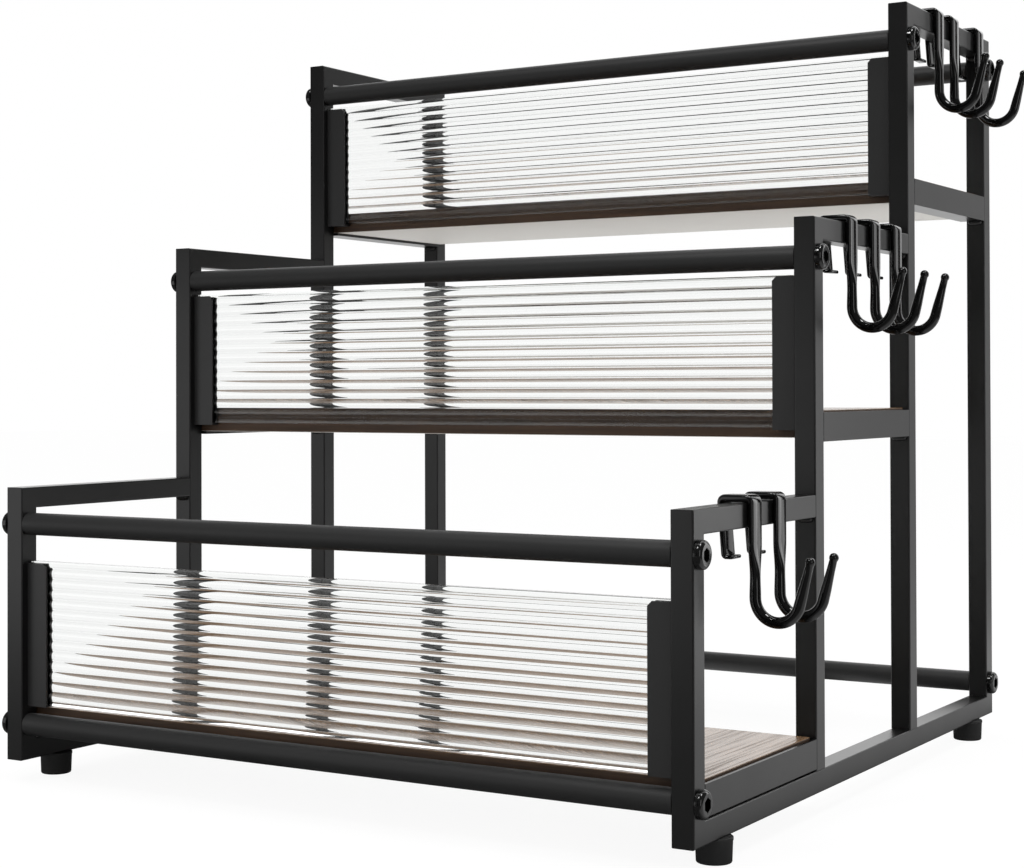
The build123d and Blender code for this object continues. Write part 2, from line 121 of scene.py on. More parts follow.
class BoardSettings(bpy.types.PropertyGroup):
    """Wood-grain laminate on the shelves."""

    light: bpy.props.StringProperty(
        name="Light grain", description="Lighter brown of the printed grain", default="#7b6148"
    )
    dark: bpy.props.StringProperty(
        name="Dark grain", description="Darker brown of the printed grain", default="#584430"
    )
    underside: bpy.props.StringProperty(
        name="Underside", description="Pale backing paper under the board", default="#d3d1cc"
    )
    # The edge tint is painted shade: it darkens the upright edges beside the top, which get less light than
    # the top
    edge: bpy.props.StringProperty(
        name="Edge tint", description="Darkening of the banded edges beside the top", default="#94836a"
    )
    grain: bpy.props.FloatProperty(
        name="Grain width", description="Width of one streak of the grain", default=1.9 * MM, unit="LENGTH"
    )


class PanelSettings(bpy.types.PropertyGroup):
    """Clear fluted fronts."""

    pitch: bpy.props.FloatProperty(
        name="Flute pitch", description="Height of one flute", default=4.9 * MM, unit="LENGTH"
    )
    crest: bpy.props.FloatProperty(
        name="Crest radius", description="Radius of the round crest of a flute",
        default=3.3 * MM, unit="LENGTH",
    )
    hollow: bpy.props.FloatProperty(
        name="Hollow radius", description="Radius in the hollow between two flutes",
        default=0.6 * MM, unit="LENGTH",
    )
    cut_shares: bpy.props.FloatVectorProperty(
        name="Cut shares",
        description="Share of a flute left at the foot of the lower, middle and upper panel",
        default=(0.37, 0.65, 0.14),
    )


class BoltSettings(bpy.types.PropertyGroup):
    """Socket bolts in the bar ends."""

    head: bpy.props.FloatProperty(
        name="Head diameter", description="Diameter of a bolt head", default=11.8 * MM, unit="LENGTH"
    )
    height: bpy.props.FloatProperty(
        name="Head height", description="Height of a bolt head over the post",
        default=3.4 * MM, unit="LENGTH",
    )
    face: bpy.props.FloatProperty(
        name="Face diameter", description="Flat face of a bolt head", default=8.2 * MM, unit="LENGTH"
    )
    socket: bpy.props.FloatProperty(
        name="Socket", description="Width of the hexagon socket across its flats",
        default=5.0 * MM, unit="LENGTH",
    )
    depth: bpy.props.FloatProperty(
        name="Socket depth", description="Depth of the hexagon socket", default=2.2 * MM, unit="LENGTH"
    )


class HookSettings(bpy.types.PropertyGroup):
    """Cup hooks over the right-hand top rails."""

    width: bpy.props.FloatProperty(
        name="Strap width", description="Width of the strap", default=10.0 * MM, unit="LENGTH"
    )
    thickness: bpy.props.FloatProperty(
        name="Strap thickness", description="Thickness of the legs of the strap",
        default=2.4 * MM, unit="LENGTH",
    )
    top: bpy.props.FloatProperty(
        name="Top thickness", description="Thickness of the strap over the rail",
        default=3.1 * MM, unit="LENGTH",
    )
    edge_round: bpy.props.FloatProperty(
        name="Edge round", description="Radius of the long edges of the strap",
        default=1.1 * MM, unit="LENGTH",
    )
    clearance: bpy.props.FloatProperty(
        name="Rail clearance", description="Gap between the strap and the rail",
        default=0.3 * MM, unit="LENGTH",
    )
    back_gap: bpy.props.FloatProperty(
        name="Back gap", description="Gap behind the rail at the top of the back leg",
        default=1.15 * MM, unit="LENGTH",
    )
    back_lap: bpy.props.FloatProperty(
        name="Back lap", description="How far the foot of the back leg reaches under the rail",
        default=0.7 * MM, unit="LENGTH",
    )
    back_drop: bpy.props.FloatProperty(
        name="Back drop", description="From the rail's top to the end of the back leg",
        default=23.1 * MM, unit="LENGTH",
    )
    lip_length: bpy.props.FloatProperty(
        name="Lip length", description="Length of the lip that points back under the rail",
        default=2.4 * MM, unit="LENGTH",
    )
    lip_thickness: bpy.props.FloatProperty(
        name="Lip thickness", description="Thickness of the lip", default=1.5 * MM, unit="LENGTH"
    )
    strap_drop: bpy.props.FloatProperty(
        name="Strap drop", description="From the rail's top to the end of the flat strap",
        default=17.0 * MM, unit="LENGTH",
    )
    neck_drop: bpy.props.FloatProperty(
        name="Neck drop", description="From the rail's top to the narrowest part of the leg",
        default=30.0 * MM, unit="LENGTH",
    )
    bend_drop: bpy.props.FloatProperty(
        name="Bend drop", description="From the rail's top to the middle of the bend",
        default=38.6 * MM, unit="LENGTH",
    )
    bend_radius: bpy.props.FloatProperty(
        name="Bend radius", description="Radius of the bend along the middle of the wire",
        default=9.8 * MM, unit="LENGTH",
    )
    tip_length: bpy.props.FloatProperty(
        name="Tip length", description="From the end of the bend to the middle of the ball",
        default=18.5 * MM, unit="LENGTH",
    )
    neck: bpy.props.FloatProperty(
        name="Neck diameter", description="Diameter of the wire under the strap",
        default=4.4 * MM, unit="LENGTH",
    )
    wire: bpy.props.FloatProperty(
        name="Wire diameter", description="Diameter of the wire round the bend",
        default=4.8 * MM, unit="LENGTH",
    )
    tip: bpy.props.FloatProperty(
        name="Tip diameter", description="Diameter of the wire at the ball", default=3.3 * MM, unit="LENGTH"
    )
    ball: bpy.props.FloatProperty(
        name="Ball diameter", description="Diameter of the ball on the tip", default=4.0 * MM, unit="LENGTH"
    )
    slant: bpy.props.FloatProperty(
        name="Tip slant", description="Lean of the tip away from upright",
        default=radians(15), unit="ROTATION",
    )


class StageSettings(bpy.types.PropertyGroup):
    """Camera, light and floor."""

    camera_place: bpy.props.FloatVectorProperty(
        name="Camera place", description="Where the camera stands",
        default=(0.4997, -0.86805, 0.18835), subtype="XYZ",
    )
    yaw: bpy.props.FloatProperty(
        name="Yaw", description="Turn of the camera to the left", default=radians(31.556), unit="ROTATION"
    )
    pitch: bpy.props.FloatProperty(
        name="Pitch", description="Tilt of the camera upward", default=radians(0.589), unit="ROTATION"
    )
    roll: bpy.props.FloatProperty(
        name="Roll", description="Roll of the camera", default=radians(-0.156), unit="ROTATION"
    )
    lens: bpy.props.FloatProperty(
        name="Lens", description="Focal length in millimetres", default=68.70, unit="CAMERA"
    )
    shift_x: bpy.props.FloatProperty(
        name="Shift X", description="Sideways shift of the frame", default=0.01703
    )
    shift_y: bpy.props.FloatProperty(
        name="Shift Y", description="Upward shift of the frame", default=-0.06373
    )
    wall_turn: bpy.props.FloatProperty(
        name="Wall turn", description="Turn of the white wall to the left of straight behind the rack",
        default=radians(12), unit="ROTATION",
    )
    wall_reach: bpy.props.FloatProperty(
        name="Wall reach",
        description="Angle from the middle of the white wall over which it is fully white",
        default=radians(42), unit="ROTATION",
    )
    wall_fade: bpy.props.FloatProperty(
        name="Wall fade", description="Angle over which the white wall fades into the dim room",
        default=radians(6), unit="ROTATION",
    )
    floor_level: bpy.props.FloatProperty(
        name="Floor level", description="Brightness of the floor right of the rack in reflections",
        default=0.7,
    )
    room_level: bpy.props.FloatProperty(
        name="Room level", description="How bright the rest of the room is in a reflection",
        default=0.08, min=0.0,
    )
    wall_level: bpy.props.FloatProperty(
        name="Wall level", description="How bright the white wall is in a reflection", default=1.1, min=0.0
    )
    flag_turn: bpy.props.FloatProperty(
        name="Flag turn", description="Turn of the black flag to the right of straight behind the rack",
        default=radians(18.5), unit="ROTATION",
    )
    flag_reach: bpy.props.FloatProperty(
        name="Flag reach", description="Half the width of the black flag",
        default=radians(3.5), unit="ROTATION",
    )


GROUPS = (
    ("organizer_coat", CoatSettings),
    ("organizer_board", BoardSettings),
    ("organizer_panel", PanelSettings),
    ("organizer_bolt", BoltSettings),
    ("organizer_hook", HookSettings),
    ("organizer_stage", StageSettings),
)


# Materials and light

def linear(hex_colour):
    """Linear colour of an sRGB hex value."""
    channels = []
    for start in (1, 3, 5):
        share = int(hex_colour[start:start + 2], 16) / 255
        channels.append(share / 12.92 if share <= 0.04045 else ((share + 0.055) / 1.055) ** 2.4)
    return (*channels, 1.0)


def add_node(tree, kind, settings=None, values=None, links=None):
    """Adds one node with its settings, its socket values and its incoming links."""
    node = tree.nodes.new(kind)
    for name, value in (settings or {}).items():
        setattr(node, name, value)
    for socket, value in (values or {}).items():
        node.inputs[socket].default_value = value
    for socket, source in (links or {}).items():
        tree.links.new(source, node.inputs[socket])
    return node


def emptied_tree(owner):
    """The node tree of a material or world, without the nodes it starts with."""
    owner.use_nodes = True
    owner.node_tree.nodes.clear()
    return owner.node_tree


def new_material(name, **shader_values):
    """A material, its tree, its Principled shader and the Object coordinates."""
    material = bpy.data.materials.new(name)
    tree = emptied_tree(material)
    shader = add_node(tree, "ShaderNodeBsdfPrincipled", values=shader_values)
    add_node(tree, "ShaderNodeOutputMaterial", links={"Surface": shader.outputs["BSDF"]})
    place = add_node(tree, "ShaderNodeTexCoord").outputs["Object"]
    return material, tree, shader, place


def vary_roughness(tree, shader, place, width, detail, low, high):
    """Varies the roughness in patches of a width, and returns their share of the way to high."""
    patches = add_node(
        tree, "ShaderNodeTexNoise",
        values={"Scale": 1 / width, "Detail": detail}, links={"Vector": place},
    ).outputs["Fac"]
    spread = add_node(
        tree, "ShaderNodeMapRange", values={"To Min": low, "To Max": high}, links={"Value": patches}
    )
    tree.links.new(spread.outputs["Result"], shader.inputs["Roughness"])
    return patches


def dimple_surface(tree, shader, place, width, strength, depth):
    """Bumps the surface with dimples of a width."""
    dimples = add_node(
        tree, "ShaderNodeTexNoise", values={"Scale": 1 / width, "Detail": 1.0}, links={"Vector": place}
    )
    bump = add_node(
        tree, "ShaderNodeBump",
        values={"Strength": strength, "Distance": depth},
        links={"Height": dimples.outputs["Fac"]},
    )
    tree.links.new(bump.outputs["Normal"], shader.inputs["Normal"])


def powder_coat(name, hex_colour, roughness, peel):
    """Satin polyester powder coat, sprayed and baked on steel.

    It gives the eye an even near-black with soft wide highlights and a faint orange peel.
    """
    material, *surface = new_material(name, **{"Base Color": linear(hex_colour), "IOR": 1.5})
    spread = 0.04
    vary_roughness(*surface, width=24 * MM, detail=3.0, low=roughness - spread, high=roughness + spread)
    dimple_surface(*surface, width=peel, strength=0.25, depth=0.02 * MM)
    return material


def gloss_enamel(name):
    """Gloss black enamel, dipped over the steel hooks: deep black with sharp narrow highlights."""
    material, *surface = new_material(
        name, **{"Base Color": linear("#040404"), "IOR": 1.5, "Roughness": 0.1}
    )
    dimple_surface(*surface, width=5 * MM, strength=0.25, depth=0.04 * MM)
    return material


def black_zinc(name):
    """Black plating, oiled, on machined bolts: deep black with sharp highlights on the turned edges."""
    # The plating's own grain is too fine to show, so its patches are drawn this wide
    material, *surface = new_material(name, **{"Base Color": linear("#060606"), "IOR": 1.55})
    vary_roughness(*surface, width=0.7 * MM, detail=2.0, low=0.08, high=0.16)
    return material


def zinc_steel(name):
    """Bright zinc on the inserts and foot screws: pale metal with a fine break-up."""
    # Drawn coarser than the crystals of the zinc, which are too fine to show
    material, *surface = new_material(name, **{"Base Color": linear("#b9bbbe"), "Metallic": 1.0})
    vary_roughness(*surface, width=0.4 * MM, detail=2.0, low=0.28, high=0.42)
    return material


def moulded_rubber(name):
    """Moulded black rubber: matt, a little dusty, with a fine grain from the mould."""
    material, tree, shader, place = new_material(name, **{"IOR": 1.52})
    dust = vary_roughness(tree, shader, place, width=6 * MM, detail=4.0, low=0.62, high=0.82)
    tint = add_node(
        tree, "ShaderNodeMix", settings=COLOURS,
        values={"A": linear("#0d0d0d"), "B": linear("#1b1b1b")},
        links={"Factor": dust},
    )
    tree.links.new(tint.outputs["Result"], shader.inputs["Base Color"])
    dimple_surface(tree, shader, place, width=0.5 * MM, strength=0.4, depth=0.05 * MM)
    return material


def clear_acrylic(name):
    """Extruded clear acrylic: it bends what stands behind it, with a polished skin."""
    material, *surface = new_material(
        name, **{"Base Color": linear("#fbfcfb"), "IOR": 1.49, "Transmission Weight": 1.0}
    )
    vary_roughness(*surface, width=30 * MM, detail=2.0, low=0.0, high=0.03)
    return material


def grain_laminate(name, board):
    """Dark wood-grain laminate on board, pressed with a satin grain, with pale paper underneath.

    Seen flat it is dark brown. Seen along the surface it mirrors the bright room, broken by
    the pressed grain, which runs from front to back on top and along the edges. The upright
    edges carry painted shade: their colour is multiplied darker than the top's.
    """
    material, tree, shader, place = new_material(name, **{"IOR": 1.5})
    normal = add_node(tree, "ShaderNodeNewGeometry").outputs["Normal"]
    facing = add_node(tree, "ShaderNodeSeparateXYZ", links={"Vector": normal})
    streak_length = 40 * board.grain
    fine, long = 1 / board.grain, 1 / streak_length
    lean, speck_width = radians(1.5), 1.5 * MM
    top_grain = add_node(
        tree, "ShaderNodeMapping",
        values={"Scale": (fine, long, fine), "Rotation": (0.0, 0.0, lean)},
        links={"Vector": place},
    )
    edge_grain = add_node(
        tree, "ShaderNodeMapping", values={"Scale": (long, fine, fine)}, links={"Vector": place}
    )
    front_share = add_node(
        tree, "ShaderNodeMath", settings={"operation": "ABSOLUTE"}, links={0: facing.outputs["Y"]}
    )
    along = add_node(
        tree, "ShaderNodeMix", settings={"data_type": "VECTOR"},
        links={
            "Factor": front_share.outputs["Value"],
            "A": top_grain.outputs["Vector"],
            "B": edge_grain.outputs["Vector"],
        },
    )
    streaks = add_node(
        tree, "ShaderNodeTexNoise",
        values={"Scale": 1.0, "Detail": 6.0, "Roughness": 0.62, "Distortion": 0.25},
        links={"Vector": along.outputs["Result"]},
    )
    contrast = add_node(
        tree, "ShaderNodeMapRange",
        values={"From Min": 0.34, "From Max": 0.66},
        links={"Value": streaks.outputs["Fac"]},
    )
    colours = add_node(
        tree, "ShaderNodeMix", settings=COLOURS,
        values={"A": linear(board.dark), "B": linear(board.light)},
        links={"Factor": contrast.outputs["Result"]},
    )
    speckle = add_node(
        tree, "ShaderNodeTexNoise",
        values={"Scale": 1 / speck_width, "Detail": 3.0}, links={"Vector": place},
    )
    paper = add_node(
        tree, "ShaderNodeMix", settings=COLOURS,
        values={"A": linear(board.underside), "B": linear("#c6c3be")},
        links={"Factor": speckle.outputs["Fac"]},
    )
    is_under = add_node(
        tree, "ShaderNodeMath", settings={"operation": "LESS_THAN"},
        values={1: -0.5}, links={0: facing.outputs["Z"]},
    )
    skin = add_node(
        tree, "ShaderNodeMix", settings=COLOURS,
        links={
            "Factor": is_under.outputs["Value"],
            "A": colours.outputs["Result"],
            "B": paper.outputs["Result"],
        },
    )
    flat_share = add_node(
        tree, "ShaderNodeMath", settings={"operation": "ABSOLUTE"}, links={0: facing.outputs["Z"]}
    )
    upright = add_node(
        tree, "ShaderNodeMapRange", values={"From Min": 0.7, "From Max": 0.3},
        links={"Value": flat_share.outputs["Value"]},
    )
    # Painted shade: the upright edges are multiplied by the edge tint, darker than the top, for the dimmer
    # light they get
    shade_painted = add_node(
        tree, "ShaderNodeMix", settings={"data_type": "RGBA", "blend_type": "MULTIPLY"},
        values={"B": linear(board.edge)},
        links={"Factor": upright.outputs["Result"], "A": skin.outputs["Result"]},
    )
    tree.links.new(shade_painted.outputs["Result"], shader.inputs["Base Color"])
    satin = add_node(
        tree, "ShaderNodeMapRange",
        values={"From Min": 0.38, "From Max": 0.58, "To Min": 0.42, "To Max": 0.17},
        links={"Value": streaks.outputs["Fac"]},
    )
    gloss = add_node(
        tree, "ShaderNodeMix", values={"B": 0.6},
        links={"Factor": is_under.outputs["Value"], "A": satin.outputs["Result"]},
    )
    matt_edge = add_node(
        tree, "ShaderNodeMix", values={"B": 0.62},
        links={"Factor": upright.outputs["Result"], "A": gloss.outputs["Result"]},
    )
    tree.links.new(matt_edge.outputs["Result"], shader.inputs["Roughness"])
    bump = add_node(
        tree, "ShaderNodeBump",
        values={"Strength": 0.2, "Distance": 0.04 * MM},
        links={"Height": streaks.outputs["Fac"]},
    )
    tree.links.new(bump.outputs["Normal"], shader.inputs["Normal"])
    return material


def off_surface_share(tree, path):
    """One for a ray that has left a glossy surface, zero for any other."""
    return add_node(
        tree, "ShaderNodeMath", settings={"operation": "GREATER_THAN"},
        values={1: 0.5}, links={0: path.outputs["Glossy Depth"]},
    ).outputs["Value"]


def straight_share(tree, path, off_surface):
    """One for a ray from the camera, also through the panels, that has left no glossy surface."""
    seen = add_node(
        tree, "ShaderNodeMath", settings={"operation": "MAXIMUM"},
        links={0: path.outputs["Is Camera Ray"], 1: path.outputs["Is Transmission Ray"]},
    )
    straight = add_node(
        tree, "ShaderNodeMath", settings={"operation": "SUBTRACT", "use_clamp": True},
        links={0: seen.outputs["Value"], 1: off_surface},
    )
    return straight.outputs["Value"]


def studio_level(tree, direction, stage):
    """How bright the studio is where a reflection looks.

    A white wall, brighter higher up, stands behind the rack. A narrow black flag in front of it
    darkens the flat sides of the glossy hooks. The rest of the room is dim.
    """
    flag_end = 1.5 * stage.flag_reach
    lift_start, lift_end, lift_gain = radians(5), radians(22), 1.7
    level_way = add_node(
        tree, "ShaderNodeVectorMath", settings=MULTIPLY,
        values={1: (1.0, 1.0, 0.0)}, links={0: direction},
    )
    way = add_node(
        tree, "ShaderNodeVectorMath", settings={"operation": "NORMALIZE"},
        links={0: level_way.outputs["Vector"]},
    )
    from_wall = add_node(
        tree, "ShaderNodeVectorMath", settings={"operation": "DOT_PRODUCT"},
        values={1: (-sin(stage.wall_turn), cos(stage.wall_turn), 0.0)},
        links={0: way.outputs["Vector"]},
    )
    wall = add_node(
        tree, "ShaderNodeMapRange", settings=SMOOTH,
        values={
            "From Min": cos(stage.wall_reach + stage.wall_fade),
            "From Max": cos(stage.wall_reach),
            "To Min": stage.room_level,
            "To Max": stage.wall_level,
        },
        links={"Value": from_wall.outputs["Value"]},
    )
    beside_flag = add_node(
        tree, "ShaderNodeVectorMath", settings={"operation": "DOT_PRODUCT"},
        values={1: (cos(stage.flag_turn), -sin(stage.flag_turn), 0.0)},
        links={0: way.outputs["Vector"]},
    )
    offset = add_node(
        tree, "ShaderNodeMath", settings={"operation": "ABSOLUTE"},
        links={0: beside_flag.outputs["Value"]},
    )
    flag = add_node(
        tree, "ShaderNodeMapRange", settings=SMOOTH,
        values={"From Min": sin(stage.flag_reach), "From Max": sin(flag_end)},
        links={"Value": offset.outputs["Value"]},
    )
    height = add_node(tree, "ShaderNodeSeparateXYZ", links={"Vector": direction})
    lift = add_node(
        tree, "ShaderNodeMapRange", settings=SMOOTH,
        values={
            "From Min": sin(lift_start), "From Max": sin(lift_end), "To Min": 1.0, "To Max": lift_gain,
        },
        links={"Value": height.outputs["Z"]},
    )
    level = wall.outputs["Result"]
    for share in (flag, lift):
        level = add_node(
            tree, "ShaderNodeMath", settings=MULTIPLY, links={0: level, 1: share.outputs["Result"]}
        ).outputs["Value"]
    return level


def mirrored_floor(tree, place, stage):
    """How bright the floor is in a reflection: lit on the rack's right, elsewhere as the studio."""
    spot = add_node(tree, "ShaderNodeSeparateXYZ", links={"Vector": place})
    reach = add_node(tree, "ShaderNodeVectorMath", settings={"operation": "LENGTH"}, links={0: place})
    lit = None
    # Where the floor goes from dark to lit, in metres on X, on Y and from the middle, and its level
    for where, dark_end, lit_end, level in (
        (spot.outputs["X"], 0.17, 0.21, stage.floor_level),
        (spot.outputs["Y"], -0.26, -0.2, 1.0),
        (reach.outputs["Value"], 0.8, 0.55, 1.0),
    ):
        share = add_node(
            tree, "ShaderNodeMapRange", settings=SMOOTH,
            values={"From Min": dark_end, "From Max": lit_end, "To Max": level}, links={"Value": where},
        ).outputs["Result"]
        lit = share if lit is None else add_node(
            tree, "ShaderNodeMath", settings=MULTIPLY, links={0: lit, 1: share}
        ).outputs["Value"]
    direction = add_node(
        tree, "ShaderNodeVectorMath", settings={"operation": "NORMALIZE"}, links={0: place}
    )
    level = add_node(
        tree, "ShaderNodeMath", settings={"operation": "MAXIMUM"},
        links={0: lit, 1: studio_level(tree, direction.outputs["Vector"], stage)},
    )
    return level.outputs["Value"]


def floor_paper(stage):
    """White studio paper: even, with a faint shadow, to the camera, and grey in most reflections."""
    glow_share = 0.92
    paper = bpy.data.materials.new("white_studio_floor")
    tree = emptied_tree(paper)
    path = add_node(tree, "ShaderNodeLightPath")
    off_surface = off_surface_share(tree, path)
    straight = straight_share(tree, path, off_surface)
    place = add_node(tree, "ShaderNodeTexCoord").outputs["Object"]
    level = add_node(
        tree, "ShaderNodeMix", values={"B": 1.0},
        links={"Factor": straight, "A": mirrored_floor(tree, place, stage)},
    )
    glow = add_node(
        tree, "ShaderNodeEmission", values={"Color": linear("#ffffff")},
        links={"Strength": level.outputs["Result"]},
    )
    matt = add_node(tree, "ShaderNodeBsdfDiffuse", values={"Color": linear("#f4f4f4")})
    shown = add_node(
        tree, "ShaderNodeMixShader", values={0: glow_share},
        links={1: matt.outputs["BSDF"], 2: glow.outputs["Emission"]},
    )
    direct = add_node(
        tree, "ShaderNodeMath", settings={"operation": "MAXIMUM"}, links={0: straight, 1: off_surface}
    )
    both = add_node(
        tree, "ShaderNodeMixShader",
        links={0: direct.outputs["Value"], 1: matt.outputs["BSDF"], 2: shown.outputs["Shader"]},
    )
    add_node(tree, "ShaderNodeOutputMaterial", links={"Surface": both.outputs["Shader"]})
    return paper


def studio_world(stage):
    """White background and even light, with the studio's level in a reflection."""
    world = bpy.data.worlds.new("white_studio")
    tree = emptied_tree(world)
    path = add_node(tree, "ShaderNodeLightPath")
    direction = add_node(tree, "ShaderNodeTexCoord").outputs["Generated"]
    level = add_node(
        tree, "ShaderNodeMix", values={"A": 1.0},
        links={"Factor": off_surface_share(tree, path), "B": studio_level(tree, direction, stage)},
    )
    glow = add_node(
        tree, "ShaderNodeBackground", values={"Color": linear("#ffffff")},
        links={"Strength": level.outputs["Result"]},
    )
    add_node(tree, "ShaderNodeOutputWorld", links={"Surface": glow.outputs["Background"]})
    return world


def add_lamp(name, place, width, height, radiance):
    """A rectangular softbox that looks at the middle of the rack."""
    rack_middle = Vector((0, 0, 0.15))
    lamp_data = bpy.data.lights.new(name, "AREA")
    lamp_data.shape = "RECTANGLE"
    lamp_data.size, lamp_data.size_y = width, height
    lamp_data.energy = radiance * pi * width * height
    lamp = add_object(name, lamp_data)
    lamp.location = place
    aim = rack_middle - lamp.location
    lamp.rotation_euler = aim.to_track_quat("-Z", "Y").to_euler()


def add_camera(stage):
    """The photograph's camera, as its straight edges place it."""
    camera_data = bpy.data.cameras.new("photo_camera")
    camera_data.lens = stage.lens
    camera_data.sensor_width = 36.0
    camera_data.sensor_fit = "HORIZONTAL"
    camera_data.shift_x = stage.shift_x
    camera_data.shift_y = stage.shift_y
    camera_data.clip_start = 0.01
    camera = add_object("photo_camera", camera_data)
    turn = Matrix.Rotation(stage.yaw, 4, "Z") @ Matrix.Rotation(pi / 2 + stage.pitch, 4, "X")
    camera.matrix_world = (
        Matrix.Translation(stage.camera_place) @ turn @ Matrix.Rotation(stage.roll, 4, "Z")
    )
    bpy.context.scene.camera = camera


# Mesh helpers

def finish_piece(bm, name, material, body, replaces=(), sharp_angle=35.0):
    """Turns a bmesh into a finished piece that rides on a body of the rack."""
    bmesh.ops.remove_doubles(bm, verts=bm.verts, dist=0.001 * MM)
    bmesh.ops.recalc_face_normals(bm, faces=bm.faces)
    mesh = mesh_of(bm, name)
    mesh.shade_smooth()
    mesh.set_sharp_from_angle(angle=radians(sharp_angle))
    mesh.materials.append(material)
    piece = add_object(name, mesh)
    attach(piece, body)
    if replaces:
        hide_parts(*replaces)
    return piece


def dress(node, material):
    """Gives a node of the rack its material."""
    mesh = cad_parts[node].data
    mesh.materials.clear()
    mesh.materials.append(material)


def turned(bm, profile, centre, axis, across, steps):
    """Spins an open outline of (radius, height) points round an axis."""
    axis, across = Vector(axis), Vector(across)
    centre = Vector(centre)
    points = [bm.verts.new(centre + across * radius + axis * height) for radius, height in profile]
    edges = [bm.edges.new(pair) for pair in zip(points, points[1:])]
    bmesh.ops.spin(
        bm, geom=points + edges, cent=centre, axis=axis, angle=2 * pi, steps=steps, use_merge=True
    )
    bmesh.ops.remove_doubles(bm, verts=bm.verts, dist=0.001 * MM)


def weld_bead(bm, corner):
    """A rippled bead of weld across a post, under the end of a rail that meets its front."""
    radius, length, sink = 1.9 * MM, 7.5 * MM, 0.5 * MM
    steps, round_steps = 32, 24
    ripples, ripple_share = 5, 0.06
    profile = []
    for step in range(steps + 1):
        along = 2 * step / steps - 1
        swell = radius * (1 - ripple_share + ripple_share * cos(2 * pi * ripples * along))
        profile.append((swell * sqrt(max(1 - along**4, 0)), length / 2 * along))
    turned(bm, profile, corner - Vector((0, sink, sink)), (1, 0, 0), (0, 0, 1), round_steps)


def arc_points(middle, radius, start, end, steps):
    """Points of an arc in a plane, from one angle in degrees to another."""
    points = []
    for step in range(steps + 1):
        angle = radians(start + (end - start) * step / steps)
        points.append((middle[0] + radius * cos(angle), middle[1] + radius * sin(angle)))
    return points


def hexagon_ring(bm, across, place, steps):
    """A ring of vertices round a hexagon of a width across its flats, and its edges."""
    sixth = pi / 3
    ring = bmesh.ops.create_circle(bm, segments=steps, radius=across / 2)["verts"]
    for vert in ring:
        angle = atan2(vert.co.y, vert.co.x) % sixth
        vert.co /= cos(angle - sixth / 2)
    edges = list({edge for vert in ring for edge in vert.link_edges})
    bmesh.ops.transform(bm, matrix=place, verts=ring)
    return edges


def section_ring(bm, place, section, steps=32):
    """A ring round a rounded section, given as half its thickness, half its width and its corner."""
    half_thickness, half_width, corner = section
    ring = bmesh.ops.create_circle(bm, segments=steps, radius=1.0)["verts"]
    for vert in ring:
        angle = atan2(vert.co.y, vert.co.x) + pi / steps
        across = copysign(half_width - corner, cos(angle)) + corner * cos(angle)
        up = copysign(half_thickness - corner, sin(angle)) + corner * sin(angle)
        vert.co = Vector((across, up, 0.0))
    edges = list({edge for vert in ring for edge in vert.link_edges})
    bmesh.ops.transform(bm, matrix=place, verts=ring)
    return edges


def mixed(old, new, share):
    """A section part of the way from one to another."""
    return tuple(start + (end - start) * share for start, end in zip(old, new))


def go_straight(stations, reach, section, steps=1):
    """Carries a sweep in the XZ plane straight on, easing into a section."""
    (x, z), heading, old = stations[-1]
    for step in range(1, steps + 1):
        share = step / steps
        place = (x + reach * share * cos(heading), z + reach * share * sin(heading))
        stations.append((place, heading, mixed(old, section, share * share * (3 - 2 * share))))


def go_round(stations, turn, radius, section, steps):
    """Carries a sweep in the XZ plane round a bend; a turn below zero is to the right."""
    (x, z), heading, old = stations[-1]
    reach = copysign(radius, turn)
    centre_x, centre_z = x - reach * sin(heading), z + reach * cos(heading)
    for step in range(1, steps + 1):
        angle = heading + turn * step / steps
        place = (centre_x + reach * sin(angle), centre_z - reach * cos(angle))
        stations.append((place, angle, mixed(old, section, step / steps)))


